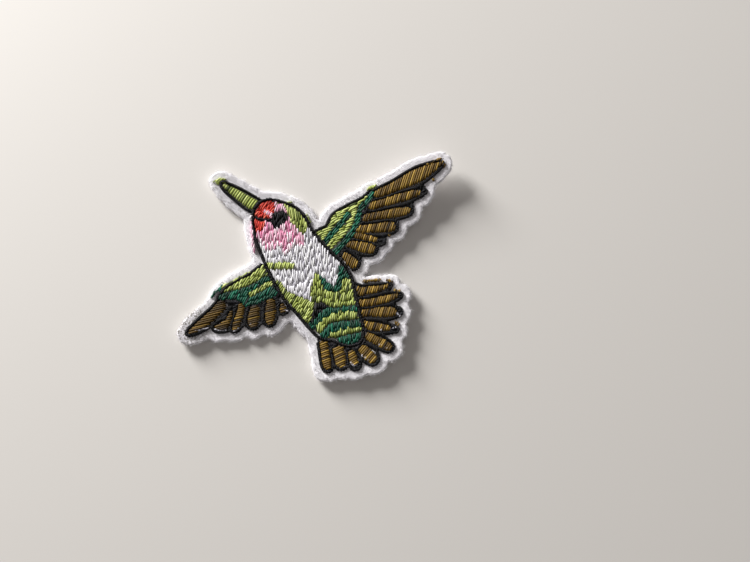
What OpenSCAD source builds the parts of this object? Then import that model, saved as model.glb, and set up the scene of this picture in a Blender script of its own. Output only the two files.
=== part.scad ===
/* [Bird] */
// Length of the body from the brow to the end of the rump
body_length = 37.2; // [30:0.1:46]
// Depth of the body that its outline and patches are drawn to
body_depth = 15; // [12:0.1:18]
// Slope of the body below the level
body_slope = 58.2; // [45:0.1:70]
// Length of the beak
beak_length = 10.7; // [8:0.1:14]
// Depth that the beak is drawn to
beak_depth = 3; // [2.4:0.1:3.6]
// Turn of the beak from the line of the body
beak_turn = 25.5; // [15:0.5:35]

/* [Wings] */
// Length of the right wing from its root to its tip
right_wing_length = 33.7; // [28:0.1:40]
// Depth that the right wing is drawn to
right_wing_depth = 13; // [11:0.1:15]
// Angle from the body's line to the right wing
right_wing_spread = 87.3; // [80:0.1:96]
// Length of the left wing from its root to its tip
left_wing_length = 23.1; // [19:0.1:28]
// Depth that the left wing is drawn to
left_wing_depth = 10; // [8.5:0.1:11.5]
// Angle from the body's line to the left wing
left_wing_spread = 79; // [72:0.1:86]
// Width of a plain flight feather
feather_width = 1.4; // [1.1:0.05:1.6]
// Width of a covert stripe on the wings
stripe_width = 1.15; // [0.9:0.05:1.4]

/* [Tail] */
// Length of the longest tail feather
tail_length = 8.7; // [7:0.1:11]
// Width of a plain tail feather
tail_feather_width = 1.8; // [1.5:0.05:2]
// Turn of the whole tail fan about the feathers' roots
tail_turn = 0; // [-6:0.5:6]

/* [Embroidery] */
// Width of the black outline
outline_width = 0.8; // [0.6:0.05:1]
// Height of the filled areas above the felt
fill_height = 0.75; // [0.4:0.05:1.2]
// Height of the black outlines above the felt
outline_height = 0.9; // [0.4:0.05:1.3]
// Gap between one area of stitches and the next
clearance = 0.1; // [0.05:0.01:0.15]
// Gap between the stitches and the felt
seat_gap = 0.05; // [0.02:0.01:0.1]
// Radius of the corners of an area of stitches
thread_radius = 0.12; // [0.08:0.01:0.2]

/* [Felt] */
// Thickness of the felt
felt_thickness = 1.2; // [1:0.05:3]
// Felt left showing outside the stitches
felt_margin = 1.75; // [1.4:0.05:2.4]
// Radius that the scissors leave in an inner corner
cut_radius = 0.3; // [0.2:0.05:0.8]

/* [Curl] */
// Radius of the flat middle that the patch rests on
flat_radius = 18; // [14:0.5:24]
// Width of the ring that starts to lift
near_ring = 14; // [10:0.5:18]
// Slope of the ring that starts to lift
near_slope = 4; // [1:0.5:6]
// Slope beyond that ring
far_slope = 8; // [7:0.5:12]

/* [Hidden] */
BANDS = 5;
COVERTS = 4;
FEATHERS_RIGHT = 7;
FEATHERS_LEFT = 6;
FEATHERS_TAIL = 9;
$fn = 12;

// Colours of the felt and the threads
FELT = [0.95, 0.94, 0.96];
WHITE = [0.88, 0.87, 0.90];
BLACK = [0.08, 0.08, 0.10];
GREEN = [0.67, 0.75, 0.35];
TEAL = [0.04, 0.43, 0.35];
BROWN = [0.57, 0.44, 0.16];
RED = [0.88, 0.24, 0.18];
PINK = [0.86, 0.51, 0.65];

// Middle of the body's black line, all round.
// Columns: share of body_length from the brow, share of body_depth towards the back.
body_edge = [
    [-0.01, -0.02], [-0.02, 0.12], [0.00, 0.25], [0.09, 0.45], [0.14, 0.51], [0.20, 0.54],
    [0.31, 0.52], [0.47, 0.585], [0.54, 0.635], [0.61, 0.66], [0.68, 0.64], [0.80, 0.535],
    [0.90, 0.45], [0.98, 0.38], [1.035, 0.25], [1.01, 0.05], [0.94, -0.08], [0.89, -0.22],
    [0.80, -0.285], [0.67, -0.335], [0.59, -0.38], [0.46, -0.375], [0.28, -0.33],
    [0.18, -0.28], [0.08, -0.20], [0.03, -0.13]
];

// Patches of colour on the body, in the order in which one gives way to another.
// Columns: share of body_length from the brow, share of body_depth towards the back.
eye_patch_edge = [
    [0.09, 0.10], [0.09, 0.26], [0.115, 0.32], [0.15, 0.30], [0.17, 0.20], [0.175, 0.07], [0.13, 0.055]
];
mouth_line_edge = [
    [0.03, -0.14], [0.07, -0.03], [0.105, 0.075], [0.115, 0.06], [0.085, -0.04], [0.045, -0.15]
];
brow_red_edge = [
    [0.05, -0.07], [0.03, -0.14], [-0.03, 0.00], [-0.03, 0.18], [0.02, 0.25], [0.065, 0.20],
    [0.09, 0.12], [0.11, 0.06], [0.08, 0.00]
];
chin_red_edge = [
    [0.055, -0.20], [0.065, -0.09], [0.095, -0.01], [0.12, -0.06], [0.135, -0.14], [0.10, -0.26]
];
nape_green_edge = [
    [0.06, 0.38], [0.10, 0.52], [0.22, 0.58], [0.27, 0.47], [0.29, 0.375], [0.24, 0.35],
    [0.19, 0.32], [0.13, 0.35]
];
breast_bar_edge = [
    [0.32, -0.40], [0.335, -0.28], [0.37, -0.13], [0.41, 0.01], [0.435, -0.03], [0.40, -0.19],
    [0.375, -0.32], [0.36, -0.42]
];
thigh_front_edge = [
    [0.53, 0.25], [0.58, 0.23], [0.65, 0.195], [0.69, 0.13], [0.70, 0.04], [0.67, -0.02],
    [0.625, 0.00], [0.58, 0.10]
];
thigh_back_edge = [
    [0.65, 0.56], [0.69, 0.62], [0.77, 0.57], [0.82, 0.48], [0.805, 0.37], [0.78, 0.30],
    [0.73, 0.36], [0.675, 0.48]
];
vent_teal_edge = [
    [0.56, 0.27], [0.625, 0.315], [0.66, 0.365], [0.64, 0.45], [0.60, 0.52], [0.56, 0.62], [0.61, 0.70],
    [0.66, 0.66], [0.67, 0.53], [0.70, 0.41], [0.69, 0.32], [0.65, 0.22], [0.60, 0.225]
];
vent_green_edge = [
    [0.64, 0.19], [0.68, 0.29], [0.71, 0.40], [0.78, 0.38], [0.79, 0.30], [0.775, 0.21],
    [0.74, 0.12], [0.70, 0.10]
];
flank_green_edge = [
    [0.44, -0.40], [0.45, -0.33], [0.475, -0.29], [0.53, -0.27], [0.58, -0.21], [0.62, -0.13],
    [0.655, -0.06], [0.69, -0.02], [0.705, -0.05], [0.75, -0.17], [0.77, -0.26], [0.73, -0.295],
    [0.66, -0.31], [0.60, -0.345], [0.55, -0.40]
];
flank_teal_edge = [
    [0.60, -0.33], [0.65, -0.32], [0.70, -0.30], [0.75, -0.28], [0.79, -0.22], [0.83, -0.24],
    [0.81, -0.32], [0.70, -0.40], [0.62, -0.42]
];
leg_black_edge = [
    [0.70, 0.16], [0.75, 0.12], [0.81, -0.01], [0.88, -0.12], [0.90, -0.24], [0.85, -0.30], [0.78, -0.28],
    [0.74, -0.13], [0.69, 0.00], [0.69, 0.08]
];
crown_pink_edge = [
    [0.02, 0.20], [0.01, 0.30], [0.03, 0.42], [0.09, 0.42], [0.12, 0.36], [0.11, 0.25],
    [0.09, 0.17], [0.05, 0.16]
];
throat_pink_edge = [
    [0.12, 0.34], [0.20, 0.36], [0.25, 0.37], [0.30, 0.36], [0.355, 0.28], [0.32, 0.21], [0.33, 0.09],
    [0.345, -0.01], [0.285, -0.02], [0.275, -0.14], [0.25, -0.21], [0.20, -0.22], [0.17, -0.32],
    [0.07, -0.26], [0.07, -0.03], [0.13, 0.07]
];
breast_white_edge = [
    [0.10, -0.40], [0.20, 0.10], [0.28, 0.35], [0.20, 0.60], [0.40, 0.65], [0.58, 0.75],
    [0.66, 0.50], [0.68, 0.36], [0.64, 0.20], [0.66, 0.00], [0.66, -0.08], [0.60, -0.20],
    [0.48, -0.34], [0.44, -0.45], [0.25, -0.45]
];

// Edges of the bands across the rump: the share of body_length at each share of body_depth.
// Columns: front edge, thigh, middle, back of the middle, back edge.
rump_across = [-0.30, 0.00, 0.15, 0.32, 0.55];
rump_along = [
    [0.80, 0.75, 0.75, 0.785, 0.85],
    [0.83, 0.795, 0.80, 0.835, 0.89],
    [0.88, 0.84, 0.86, 0.895, 0.935],
    [0.91, 0.895, 0.92, 0.945, 0.975],
    [0.95, 0.94, 0.955, 0.98, 1.00],
    [1.10, 1.10, 1.10, 1.10, 1.10]
];

// Beak inside its black line.
// Columns: share of beak_length from the brow, share of beak_depth below the middle.
beak_edge = [
    [0.10, 0.42], [0.06, 0.03], [0.07, -0.42], [0.26, -0.40], [0.50, -0.35], [0.72, -0.24], [0.87, -0.12],
    [0.89, 0.03], [0.79, 0.18], [0.57, 0.31], [0.30, 0.43]
];
beak_tip_edge = [
    [1.07, 0.06], [1.05, -0.20], [0.96, -0.46], [0.90, -0.44], [0.90, 0.00], [1.01, 0.20]
];

// Coverts: stripes across the wing, each giving way to the one before it, and the area before them.
// Columns: share of the wing's length from its root, share of its depth back from its line.
right_stripes = [
    [[0.02, 0.26], [0.12, 0.155], [0.20, 0.08], [0.275, 0.005]],
    [
        [0.05, 0.49], [0.14, 0.42], [0.21, 0.34], [0.27, 0.24], [0.31, 0.125],
        [0.355, 0.02], [0.42, -0.03], [0.475, -0.13]
    ],
    [[0.01, 0.37], [0.11, 0.29], [0.19, 0.21], [0.275, 0.10]]
];
right_covert_edge = [
    [0.00, 0.10], [0.02, 0.02], [0.09, 0.03], [0.14, -0.06], [0.19, -0.11], [0.30, -0.11], [0.40, -0.10],
    [0.465, -0.13], [0.44, -0.04], [0.38, 0.03], [0.31, 0.10], [0.22, 0.15], [0.10, 0.24], [0.02, 0.28]
];
// How wide each stripe is drawn, in stripe widths
right_stripe_widths = [1, 1, 1.5];
left_stripe_widths = [1, 1];
left_stripes = [
    [[0.05, 0.28], [0.16, 0.225], [0.23, 0.20], [0.29, 0.18]],
    [[0.06, 0.41], [0.15, 0.355], [0.23, 0.31], [0.31, 0.275]]
];
left_covert_edge = [
    [0.01, 0.00], [0.09, -0.03], [0.18, -0.05], [0.285, -0.11], [0.39, -0.16], [0.46, -0.16],
    [0.44, -0.08], [0.36, 0.01], [0.29, 0.09], [0.22, 0.14], [0.14, 0.20], [0.04, 0.28]
];
left_back_edge = [
    [0.04, 0.28], [0.22, 0.14], [0.36, 0.01], [0.455, -0.12], [0.52, -0.15], [0.55, -0.10], [0.52, -0.02],
    [0.46, 0.08], [0.415, 0.23], [0.42, 0.42], [0.37, 0.45], [0.31, 0.545], [0.23, 0.59], [0.17, 0.655],
    [0.10, 0.67], [0.07, 0.56], [0.05, 0.44]
];

// Flight feathers: lengths and depths are shares of the wing's, widths are shares of feather_width.
// Columns: root along, root back, tip along, tip back, root width, full width, where it is full,
// share of that width near the tip, bow in feather widths, black past the tip in outline widths.
right_feathers = [
    [0.485, -0.05, 0.965, 0.035, 1.05, 2.3, 0.62, 0.50, 0.15, 0],
    [0.41, 0.08, 0.75, 0.29, 1.0, 1.35, 0.55, 0.80, 0, 1.1],
    [0.335, 0.205, 0.63, 0.485, 0.95, 1.4, 0.60, 0.85, 0, 0.3],
    [0.262, 0.33, 0.49, 0.605, 0.95, 1.6, 0.75, 0.85, 0, 0.2],
    [0.225, 0.385, 0.34, 0.66, 0.7, 0.85, 0.50, 0.75, 0, 1.8],
    [0.155, 0.46, 0.295, 0.785, 0.8, 1.7, 0.65, 0.80, 0, 0.2],
    [0.10, 0.59, 0.13, 0.885, 0.75, 1.6, 0.60, 0.75, 0, 0]
];
left_feathers = [
    [0.545, 0.03, 0.985, 0.01, 1.5, 1.6, 0.55, 0.55, 0.30, 0],
    [0.55, 0.29, 0.77, 0.31, 0.3, 1.3, 0.60, 0.70, 0.85, 0],
    [0.43, 0.34, 0.645, 0.64, 0.8, 1.15, 0.50, 0.75, 0.15, 0],
    [0.34, 0.56, 0.495, 0.87, 1.2, 1.8, 0.50, 0.75, -0.05, 0],
    [0.19, 0.68, 0.36, 1.075, 1.0, 1.65, 0.45, 0.70, 0.10, 0],
    [0.14, 0.94, 0.18, 1.08, 0.4, 0.85, 0.60, 0.80, 0, 0]
];

// Tail feathers: roots are shares of the body's sizes, widths are shares of tail_feather_width.
// Columns: root along, root back, angle from the body's line, share of tail_length, root width,
// full width, where it is full, share of that width near the tip, bow in feather widths,
// black past the tip in outline widths.
tail_feathers = [
    [0.75, 0.60, 67, 0.84, 1.1, 1.0, 0.20, 0.60, -0.40, 0.3],
    [0.83, 0.53, 70.5, 1.02, 0.7, 0.85, 0.40, 0.80, -0.20, 0.6],
    [0.885, 0.475, 60, 0.91, 0.6, 1.25, 0.65, 0.75, 0.05, 1.0],
    [0.955, 0.425, 50, 0.68, 0.8, 1.0, 0.35, 0.60, -0.05, 1.6],
    [1.015, 0.365, 31, 0.73, 0.75, 1.05, 0.60, 0.80, 0.05, 0],
    [1.065, 0.215, 13, 0.50, 0.9, 1.35, 0.55, 0.75, 0, 0],
    [1.045, 0.06, -14, 0.38, 0.6, 0.95, 0.55, 0.80, 0, 0.9],
    [0.985, -0.07, -20, 0.53, 1.2, 1.4, 0.45, 0.80, 0, 0.2],
    [0.91, -0.21, -21.5, 0.73, 0.8, 1.0, 0.60, 0.80, 0, 0.2]
];

// Places on the bird, before the patch is centred
function turned(p, a) = [p.x * cos(a) - p.y * sin(a), p.x * sin(a) + p.y * cos(a)];
function on_body(p) = turned([p.x * body_length, p.y * body_depth], -body_slope);
function on_limb(root, angle, size, p) = root + turned([p.x * size.x, p.y * size.y], angle);
function on_beak(p) = on_limb(
    on_body([0, 0.01]),
    180 - body_slope + beak_turn,
    [beak_length, beak_depth],
    p
);
function on_right(p) = on_limb(
    on_body([0.313, 0.533]),
    right_wing_spread - body_slope,
    [right_wing_length, -right_wing_depth],
    p
);
function on_left(p) = on_limb(
    on_body([0.33, -0.35]),
    -left_wing_spread - body_slope,
    [left_wing_length, left_wing_depth],
    p
);

// A curve through each point in turn, closed or open
function blend(a, b, c, d, t) =
    0.5 * (2 * b + (c - a) * t + (2 * a - 5 * b + 4 * c - d) * t * t + (3 * b - a - 3 * c + d) * t * t * t);
function closed_curve(points, steps = 3) = let (n = len(points)) [
    for (i = [0:n - 1], k = [0:steps - 1])
        blend(points[(i + n - 1) % n], points[i], points[(i + 1) % n], points[(i + 2) % n], k / steps)
];
function open_curve(points, steps = 3) = let (n = len(points)) concat(
    [
        for (i = [0:n - 2], k = [0:steps - 1])
            blend(points[max(i - 1, 0)], points[i], points[i + 1], points[min(i + 2, n - 1)], k / steps)
    ],
    [points[n - 1]]
);

// A stripe of even width along a curve
function across(a, b) = let (d = b - a) [-d.y, d.x] / norm(d);
function side(curve, half) = let (n = len(curve)) [
    for (i = [0:n - 1]) curve[i] + half * across(curve[max(i - 1, 0)], curve[min(i + 1, n - 1)])
];
function backwards(list) = [for (i = [len(list) - 1:-1:0]) list[i]];
function stripe(points, width) = let (curve = open_curve(points)) concat(
    side(curve, width / 2),
    backwards(side(curve, -width / 2))
);

// A feather from root to tip: widths in mm, full width at the share full, tip share of it near the end
function feather(root, tip, root_width, full_width, full, near_tip, bow) =
    let (
        line = tip - root,
        out = across(root, tip),
        near = full + 0.75 * (1 - full),
        rows = [
            [0, root_width],
            [full / 2, (root_width + full_width) / 2],
            [full, full_width],
            [near, full_width * near_tip]
        ],
        place = function (t, w) root + t * line + (w / 2 + 4 * bow * t * (1 - t)) * out
    )
    closed_curve(concat(
        [for (r = rows) place(r[0], r[1])],
        [place(1, 0)],
        [for (i = [3:-1:0]) place(rows[i][0], -rows[i][1])]
    ));

function wing_feather(row, placed, hand, past_tip = 0) =
    let (
        root = placed([row[0], row[1]]),
        tip = placed([row[2], row[3]]),
        along = (tip - root) / norm(tip - root)
    )
    feather(
        root,
        tip + along * past_tip,
        row[4] * feather_width,
        row[5] * feather_width,
        row[6],
        row[7],
        hand * row[8] * feather_width
    );
function right_feather_edge(i, past_tip = 0) = wing_feather(
    right_feathers[i], function (p) on_right(p), -1, past_tip * right_feathers[i][9] * outline_width
);
function left_feather_edge(i, past_tip = 0) = wing_feather(
    left_feathers[i], function (p) on_left(p), 1, past_tip * left_feathers[i][9] * outline_width
);
function tail_feather_edge(i, past_tip = 0) =
    let (
        row = tail_feathers[i],
        root = on_body([row[0], row[1]]),
        length = row[3] * tail_length + past_tip * row[9] * outline_width,
        tip = root + turned([length, 0], row[2] + tail_turn - body_slope)
    )
    feather(
        root,
        tip,
        row[4] * tail_feather_width,
        row[5] * tail_feather_width,
        row[6],
        row[7],
        row[8] * tail_feather_width
    );

// The box round the whole patch, from the edges that reach furthest
body_curve = closed_curve([for (p = body_edge) on_body(p)]);
limb_points = concat(
    [for (p = beak_edge) on_beak(p)],
    [for (i = [0:FEATHERS_RIGHT - 1]) each right_feather_edge(i, 1)],
    [for (i = [0:FEATHERS_LEFT - 1]) each left_feather_edge(i, 1)],
    [for (i = [0:FEATHERS_TAIL - 1]) each tail_feather_edge(i, 1)],
    [for (p = right_covert_edge) on_right(p)],
    [for (p = concat(left_covert_edge, left_back_edge)) on_left(p)]
);
beak_tip_points = [for (p = beak_tip_edge) on_beak(p)];
limb_margin = felt_margin + outline_width;
body_margin = felt_margin + outline_width / 2;
function lowest(list, k, margin) = min([for (p = list) p[k]]) - margin;
function highest(list, k, margin) = max([for (p = list) p[k]]) + margin;
low = [
    for (k = [0, 1]) min(
        lowest(body_curve, k, body_margin),
        lowest(limb_points, k, limb_margin),
        lowest(beak_tip_points, k, felt_margin)
    )
];
high = [
    for (k = [0, 1]) max(
        highest(body_curve, k, body_margin),
        highest(limb_points, k, limb_margin),
        highest(beak_tip_points, k, felt_margin)
    )
];
centre = (low + high) / 2;

// The curl: a flat disc under the belly, and two rings that lift more and more
rest_centre = on_body([0.42, -0.24]) - centre;
lift_start = flat_radius + near_ring;
furthest = norm(high - low);
near_lift = near_ring * tan(near_slope);
far_lift = near_lift + (furthest - lift_start) * tan(far_slope);

module layer(from, thickness) {
    profile = [[0, 0], [flat_radius, 0], [lift_start, near_lift], [furthest, far_lift]];
    translate([rest_centre.x, rest_centre.y, from])
        rotate_extrude($fn = 180)
            polygon(concat(profile, [for (p = backwards(profile)) p + [0, thickness]]));
}

// Stands an outline up as a solid between two heights of the curled patch
module raised(from, thickness) {
    intersection() {
        translate([0, 0, -1]) linear_extrude(far_lift + from + thickness + 2) children();
        layer(from, thickness);
    }
}

module stitched(height) {
    raised(felt_thickness + seat_gap, height) offset(r = thread_radius) offset(delta = -thread_radius)
        translate(-centre) children();
}

module area(points) {
    polygon(closed_curve(points));
}

module clear_of() {
    difference() {
        children(0);
        offset(delta = clearance) children([1:$children - 1]);
    }
}

// Silhouettes of the body and the limbs, each with its black line
module body_silhouette() {
    offset(r = outline_width / 2) polygon(body_curve);
}

module body_inside() {
    offset(delta = -outline_width / 2 - clearance) polygon(body_curve);
}

module outlined(gap_fill = 0.6 * outline_width) {
    offset(delta = -gap_fill) offset(r = outline_width + gap_fill) children();
}

module beak_silhouette() {
    outlined() area([for (p = beak_edge) on_beak(p)]);
}

module right_wing_silhouette() {
    outlined(1.4 * feather_width) {
        right_covert_area(COVERTS);
        for (i = [0:FEATHERS_RIGHT - 1]) polygon(right_feather_edge(i, 1));
    }
}

module left_wing_silhouette() {
    outlined(0.8 * feather_width) {
        for (i = [3:COVERTS]) left_covert_area(i);
        for (i = [0:FEATHERS_LEFT - 1]) polygon(left_feather_edge(i, 1));
    }
}

module tail_silhouette() {
    outlined() for (i = [0:FEATHERS_TAIL - 1]) polygon(tail_feather_edge(i, 1));
}

// What lies over a limb's root: the body for the beak, and for the others each silhouette before theirs
module over_limb(order) {
    body_silhouette();
    if (order > 1) beak_silhouette();
    if (order > 2) right_wing_silhouette();
    if (order > 3) left_wing_silhouette();
}

// Felt
module felt_base() {
    color(FELT) raised(0, felt_thickness) translate(-centre)
        offset(r = -cut_radius) offset(r = felt_margin + cut_radius) {
            body_silhouette();
            beak_silhouette();
            right_wing_silhouette();
            left_wing_silhouette();
            tail_silhouette();
            beak_tip_area();
        }
}

// Beak
module beak() {
    color(GREEN) stitched(fill_height) clear_of() {
        area([for (p = beak_edge) on_beak(p)]);
        body_silhouette();
    }
}

module beak_tip_area() {
    area([for (p = beak_tip_edge) on_beak(p)]);
}

module beak_tip() {
    color(GREEN) stitched(fill_height) clear_of() {
        beak_tip_area();
        beak_silhouette();
    }
}

module beak_outline() {
    color(BLACK) stitched(outline_height) clear_of() {
        beak_silhouette();
        area([for (p = beak_edge) on_beak(p)]);
        body_silhouette();
    }
}

// Body: each patch of colour gives way to the ones before it in the list
function on_body_curve(edge) = closed_curve([for (p = edge) on_body(p)]);
function rump_band_edge(i) = concat(
    [for (k = [0:4]) on_body([rump_along[i - 1][k], rump_across[k]])],
    [for (k = [4:-1:0]) on_body([rump_along[i][k], rump_across[k]])]
);
body_patches = concat(
    [
        ["eye_patch", on_body_curve(eye_patch_edge)],
        ["mouth_line", on_body_curve(mouth_line_edge)],
        ["brow_red", on_body_curve(brow_red_edge)],
        ["chin_red", on_body_curve(chin_red_edge)],
        ["nape_green", on_body_curve(nape_green_edge)],
        ["breast_bar", on_body_curve(breast_bar_edge)],
        ["thigh_front", on_body_curve(thigh_front_edge)],
        ["thigh_back", on_body_curve(thigh_back_edge)],
        ["vent_teal", on_body_curve(vent_teal_edge)],
        ["vent_green", on_body_curve(vent_green_edge)],
        ["flank_green", on_body_curve(flank_green_edge)],
        ["flank_teal", on_body_curve(flank_teal_edge)]
    ],
    [for (i = [1:BANDS]) [str("rump_band_", i), rump_band_edge(i)]],
    [
        ["leg_black", on_body_curve(leg_black_edge)],
        ["crown_pink", on_body_curve(crown_pink_edge)],
        ["throat_pink", on_body_curve(throat_pink_edge)],
        ["breast_white", on_body_curve(breast_white_edge)]
    ]
);

module body_patch(name) {
    order = search([name], body_patches)[0];
    stitched(fill_height) difference() {
        intersection() {
            polygon(body_patches[order][1]);
            body_inside();
        }
        if (order > 0) offset(delta = clearance) for (k = [0:order - 1]) polygon(body_patches[k][1]);
    }
}

module eye_patch() {
    color(BLACK) body_patch("eye_patch");
}

module mouth_line() {
    color(BLACK) body_patch("mouth_line");
}

module brow_red() {
    color(RED) body_patch("brow_red");
}

module chin_red() {
    color(RED) body_patch("chin_red");
}

module nape_green() {
    color(GREEN) body_patch("nape_green");
}

module breast_bar() {
    color(GREEN) body_patch("breast_bar");
}

module thigh_front() {
    color(GREEN) body_patch("thigh_front");
}

module thigh_back() {
    color(GREEN) body_patch("thigh_back");
}

module vent_teal() {
    color(TEAL) body_patch("vent_teal");
}

module vent_green() {
    color(GREEN) body_patch("vent_green");
}

module flank_green() {
    color(GREEN) body_patch("flank_green");
}

module flank_teal() {
    color(TEAL) body_patch("flank_teal");
}

module rump_band(i) {
    color(i % 2 == 1 ? TEAL : GREEN) body_patch(str("rump_band_", i));
}

module leg_black() {
    color(BLACK) body_patch("leg_black");
}

module crown_pink() {
    color(PINK) body_patch("crown_pink");
}

module throat_pink() {
    color(PINK) body_patch("throat_pink");
}

module breast_white() {
    color(WHITE) body_patch("breast_white");
}

module body_outline() {
    color(BLACK) stitched(outline_height) difference() {
        body_silhouette();
        offset(delta = clearance) body_inside();
    }
}

// Right wing
module right_covert_area(i) {
    if (i < COVERTS) polygon(stripe(
        [for (p = right_stripes[i - 1]) on_right(p)],
        right_stripe_widths[i - 1] * stripe_width
    ));
    else area([for (p = right_covert_edge) on_right(p)]);
}

module right_covert(i) {
    color(i < 3 ? TEAL : GREEN) stitched(fill_height) difference() {
        right_covert_area(i);
        offset(delta = clearance) {
            over_limb(2);
            if (i > 1) for (k = [1:i - 1]) right_covert_area(k);
        }
    }
}

module right_feather(i) {
    color(BROWN) stitched(fill_height) difference() {
        polygon(right_feather_edge(i - 1));
        offset(delta = clearance) {
            over_limb(2);
            for (k = [1:COVERTS]) right_covert_area(k);
            if (i > 1) for (k = [0:i - 2]) polygon(right_feather_edge(k));
        }
    }
}

module right_wing_outline() {
    color(BLACK) stitched(outline_height) difference() {
        right_wing_silhouette();
        offset(delta = clearance) {
            over_limb(2);
            for (k = [1:COVERTS]) right_covert_area(k);
            for (k = [0:FEATHERS_RIGHT - 1]) polygon(right_feather_edge(k));
        }
    }
}

// Left wing
module left_covert_area(i) {
    if (i < 3) polygon(stripe(
        [for (p = left_stripes[i - 1]) on_left(p)],
        left_stripe_widths[i - 1] * stripe_width
    ));
    else if (i == 3) area([for (p = left_back_edge) on_left(p)]);
    else area([for (p = left_covert_edge) on_left(p)]);
}

module left_covert(i) {
    color(i % 2 == 1 ? TEAL : GREEN) stitched(fill_height) difference() {
        left_covert_area(i);
        offset(delta = clearance) {
            over_limb(3);
            if (i > 1) for (k = [1:i - 1]) left_covert_area(k);
        }
    }
}

module left_feather(i) {
    color(BROWN) stitched(fill_height) difference() {
        polygon(left_feather_edge(i - 1));
        offset(delta = clearance) {
            over_limb(3);
            for (k = [1:COVERTS]) left_covert_area(k);
            if (i > 1) for (k = [0:i - 2]) polygon(left_feather_edge(k));
        }
    }
}

module left_wing_outline() {
    color(BLACK) stitched(outline_height) difference() {
        left_wing_silhouette();
        offset(delta = clearance) {
            over_limb(3);
            for (k = [1:COVERTS]) left_covert_area(k);
            for (k = [0:FEATHERS_LEFT - 1]) polygon(left_feather_edge(k));
        }
    }
}

// Tail
module tail_feather(i) {
    color(BROWN) stitched(fill_height) difference() {
        polygon(tail_feather_edge(i - 1));
        offset(delta = clearance) {
            over_limb(4);
            if (i > 1) for (k = [0:i - 2]) polygon(tail_feather_edge(k));
        }
    }
}

module tail_outline() {
    color(BLACK) stitched(outline_height) difference() {
        tail_silhouette();
        offset(delta = clearance) {
            over_limb(4);
            for (k = [0:FEATHERS_TAIL - 1]) polygon(tail_feather_edge(k));
        }
    }
}

felt_base();
beak();
beak_tip();
beak_outline();
eye_patch();
mouth_line();
brow_red();
chin_red();
nape_green();
breast_bar();
thigh_front();
thigh_back();
vent_teal();
vent_green();
flank_green();
flank_teal();
for (i = [1:BANDS]) rump_band(i);
leg_black();
crown_pink();
throat_pink();
breast_white();
body_outline();
for (i = [1:COVERTS]) right_covert(i);
for (i = [1:FEATHERS_RIGHT]) right_feather(i);
right_wing_outline();
for (i = [1:COVERTS]) left_covert(i);
for (i = [1:FEATHERS_LEFT]) left_feather(i);
left_wing_outline();
for (i = [1:FEATHERS_TAIL]) tail_feather(i);
tail_outline();
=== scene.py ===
"""A small bird in flight, sewn in coloured thread on cut-out felt.

Sizes and places are named in millimetres, and MM turns them into metres. Sizes inside a material or a node
tree are in metres already.
"""

import math
import random

import bmesh
import bpy
from mathutils import Matrix, Vector, kdtree, noise
from mathutils.geometry import delaunay_2d_cdt


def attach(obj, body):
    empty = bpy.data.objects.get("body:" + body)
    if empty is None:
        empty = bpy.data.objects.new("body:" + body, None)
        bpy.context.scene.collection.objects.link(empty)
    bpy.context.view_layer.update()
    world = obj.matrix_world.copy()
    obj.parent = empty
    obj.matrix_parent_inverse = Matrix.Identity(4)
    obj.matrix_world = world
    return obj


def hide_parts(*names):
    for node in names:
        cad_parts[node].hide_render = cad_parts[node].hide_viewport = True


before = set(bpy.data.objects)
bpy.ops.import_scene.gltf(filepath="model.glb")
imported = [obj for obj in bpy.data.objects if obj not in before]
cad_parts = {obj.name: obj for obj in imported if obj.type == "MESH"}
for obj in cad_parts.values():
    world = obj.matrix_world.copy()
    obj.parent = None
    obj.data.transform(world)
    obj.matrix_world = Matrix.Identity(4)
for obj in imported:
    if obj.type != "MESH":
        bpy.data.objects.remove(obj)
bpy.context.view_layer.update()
MM = 0.001


# The felt base: one piece of white craft felt, cut out by hand with small scissors a little way outside the
# stitches. Its cut edge is soft and uneven, and the piece curls up a little from the belly to the wing tips.
FELT_THICKNESS = 1.2
REST_CENTRE = Vector((-8.29, -1.71))
FLAT_RADIUS = 18
NEAR_RING = 14
NEAR_SLOPE = math.radians(4)
FAR_SLOPE = math.radians(8)
FELT_EDGE_STEP = 0.3
FELT_EDGE_RADIUS = 0.34
FELT_EDGE_RINGS = (0.03, 0.1, 0.24, 0.5)
FELT_SPACING = 0.5
FELT_LUMP = 0.12
BARE_BAND = 1.5
# How the scissors wandered: the layer of the noise, its waves for each mm and its depth in mm
SNIPS = ((0, 0.55, 0.3), (7, 1.6, 0.2), (3, 3.1, 0.16))


def curl(x, y):
    """How far the patch has lifted off the table at a place."""
    reach = max(0, (Vector((x, y)) - REST_CENTRE).length - FLAT_RADIUS)
    near = min(reach, NEAR_RING)
    return near * math.tan(NEAR_SLOPE) + (reach - near) * math.tan(FAR_SLOPE)


def top_loops(node):
    """The edges of a node's upper face as closed loops in mm, each with the node on its left."""
    solid = bmesh.new()
    solid.from_mesh(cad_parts[node].data)
    bmesh.ops.remove_doubles(solid, verts=solid.verts, dist=0.002 * MM)
    after = {}
    for face in solid.faces:
        if face.normal.z > 0.5:
            for corner in face.loops:
                others = [f for f in corner.edge.link_faces if f is not face and f.normal.z > 0.5]
                if not others:
                    after[corner.vert.index] = corner.link_loop_next.vert.index
    solid.verts.ensure_lookup_table()
    loops = []
    while after:
        start, here = after.popitem()
        loop = [start]
        while here != start and here in after:
            loop.append(here)
            here = after.pop(here)
        if len(loop) > 2:
            loops.append([Vector(solid.verts[i].co[:2]) / MM for i in loop])
    solid.free()
    return loops


def edges_of(loops):
    return [(loop[i - 1], loop[i]) for loop in loops for i in range(len(loop))]


def is_inside(point, edges):
    crossed = False
    for a, b in edges:
        if (a.y > point.y) != (b.y > point.y):
            if point.x < a.x + (point.y - a.y) / (b.y - a.y) * (b.x - a.x):
                crossed = not crossed
    return crossed


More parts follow.
